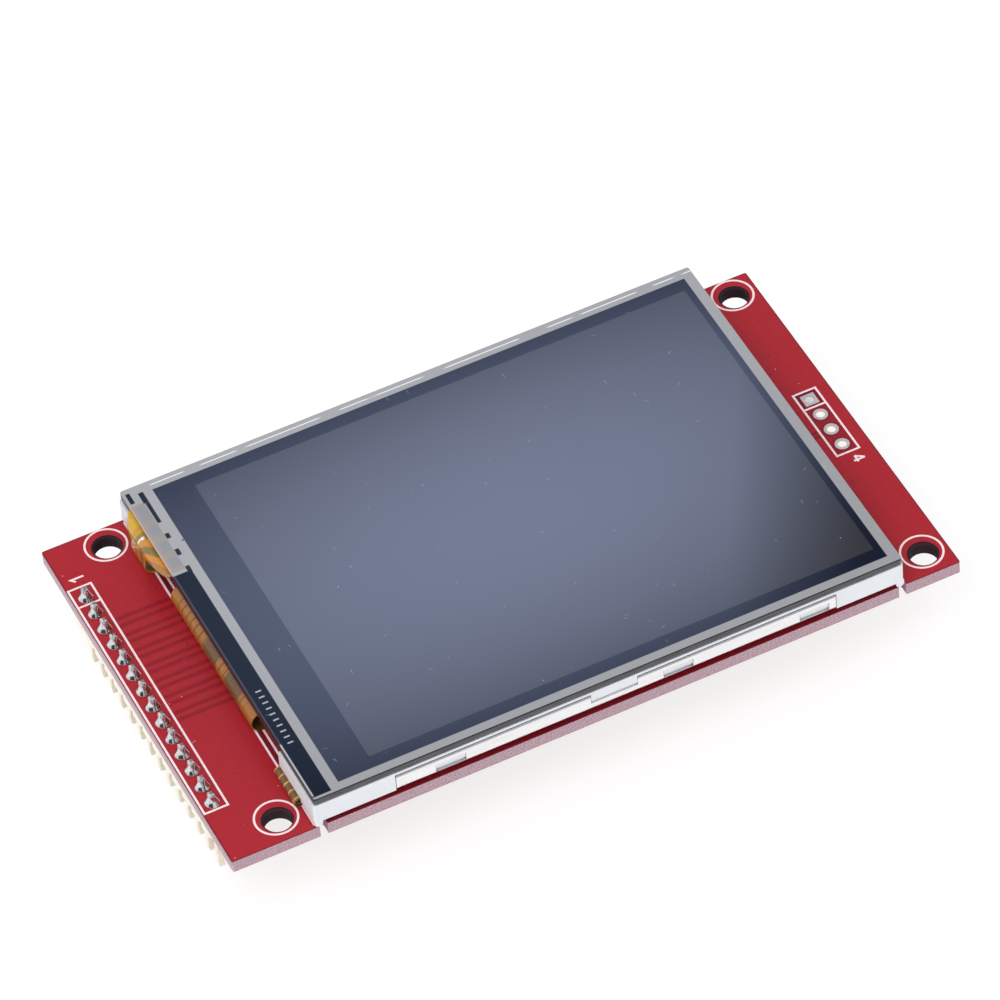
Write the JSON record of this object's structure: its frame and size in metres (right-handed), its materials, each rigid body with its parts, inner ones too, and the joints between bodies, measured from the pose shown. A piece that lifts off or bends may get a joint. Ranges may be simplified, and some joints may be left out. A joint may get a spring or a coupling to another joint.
{
  "type": "touch display module",
  "caption": "Flat touch display bonded to a red circuit board, with a row of pins under one end, spare solder pads at the other and a card socket on the back.",
  "frame": {"origin": "centre of the rectangle of the four mounting holes, on the board's upper face (the side that carries the display)", "axes": "+Z out of the screen along the mounting holes, +X along the board from the pin header towards the spare pads, +Y across the board"},
  "size_m": [0.0859, 0.05, 0.0146],
  "materials": {
    "board_red": "glossy red solder mask over glass-fibre laminate, white print",
    "header_plastic": "moulded pale yellow plastic",
    "pin_plating": "thin gold plating",
    "solder": "bright solder",
    "pad_tin": "tinned copper",
    "foam_tape": "white foam tape",
    "tray_steel": "bright rolled stainless sheet",
    "frame_plastic": "white moulded plastic",
    "reflector_film": "white reflector film",
    "acrylic": "clear acrylic",
    "lamp_package": "white lamp bodies with yellow faces",
    "flex_film": "brown polyimide film with copper traces",
    "tail_film": "orange polyimide film",
    "diffuser_film": "frosted white film",
    "prism_film": "fine ribbed clear film",
    "black_tape": "matt black tape",
    "polarizer_film": "dark polarizer film",
    "display_glass": "clear float glass",
    "silicon": "polished back of a chip",
    "gasket_tape": "grey double-sided tape",
    "touch_glass": "glass edge over dark layers",
    "silver_ink": "silver-grey ink and adhesive ring",
    "touch_film": "glossy film over a dark screen with a silver-grey border",
    "socket_steel": "tinned steel sheet",
    "socket_plastic": "black moulded plastic",
    "contact_gold": "gold plated spring strip",
    "chip_plastic": "black moulding compound",
    "lead_tin": "tin plated leads",
    "resistor_black": "black glazed ceramic",
    "capacitor_ceramic": "tan ceramic"
  },
  "bodies": {
    "root": {"board": "board_red", "header_body": "header_plastic", "header_solder": "solder", "spare_pad_rings": "pad_tin", "mounting_tape": "foam_tape", "metal_tray": "tray_steel", "backlight_frame": "frame_plastic", "reflector_sheet": "reflector_film", "light_guide": "acrylic", "backlight_leds": "lamp_package", "backlight_flex": "flex_film", "diffuser_sheet": "diffuser_film", "prism_sheet_lower": "prism_film", "prism_sheet_upper": "prism_film", "rim_tape": "black_tape", "rear_polarizer": "polarizer_film", "rear_glass": "display_glass", "front_glass": "display_glass", "front_polarizer": "polarizer_film", "driver_chip": "silicon", "display_flex": "flex_film", "flex_solder": "solder", "panel_gasket": "gasket_tape", "touch_glass": "touch_glass", "touch_spacer": "silver_ink", "touch_film": "touch_film", "touch_tail": "tail_film", "card_socket_shell": "socket_steel", "card_socket_body": "socket_plastic", "card_socket_floor": "socket_plastic", "card_socket_rails": "socket_plastic", "card_socket_contacts": "contact_gold", "touch_controller": "chip_plastic", "touch_controller_leads": "lead_tin", "voltage_regulator": "chip_plastic", "voltage_regulator_leads": "lead_tin", "backlight_transistor": "chip_plastic", "backlight_transistor_leads": "lead_tin", "chip_resistors": "resistor_black", "chip_capacitors": "capacitor_ceramic", "chip_terminations": "lead_tin", "header_pin_01": "pin_plating", "header_pin_02": "pin_plating", "header_pin_03": "pin_plating", "header_pin_04": "pin_plating", "header_pin_05": "pin_plating", "header_pin_06": "pin_plating", "header_pin_07": "pin_plating", "header_pin_08": "pin_plating", "header_pin_09": "pin_plating", "header_pin_10": "pin_plating", "header_pin_11": "pin_plating", "header_pin_12": "pin_plating", "header_pin_13": "pin_plating", "header_pin_14": "pin_plating"}
  },
  "joints": []
}
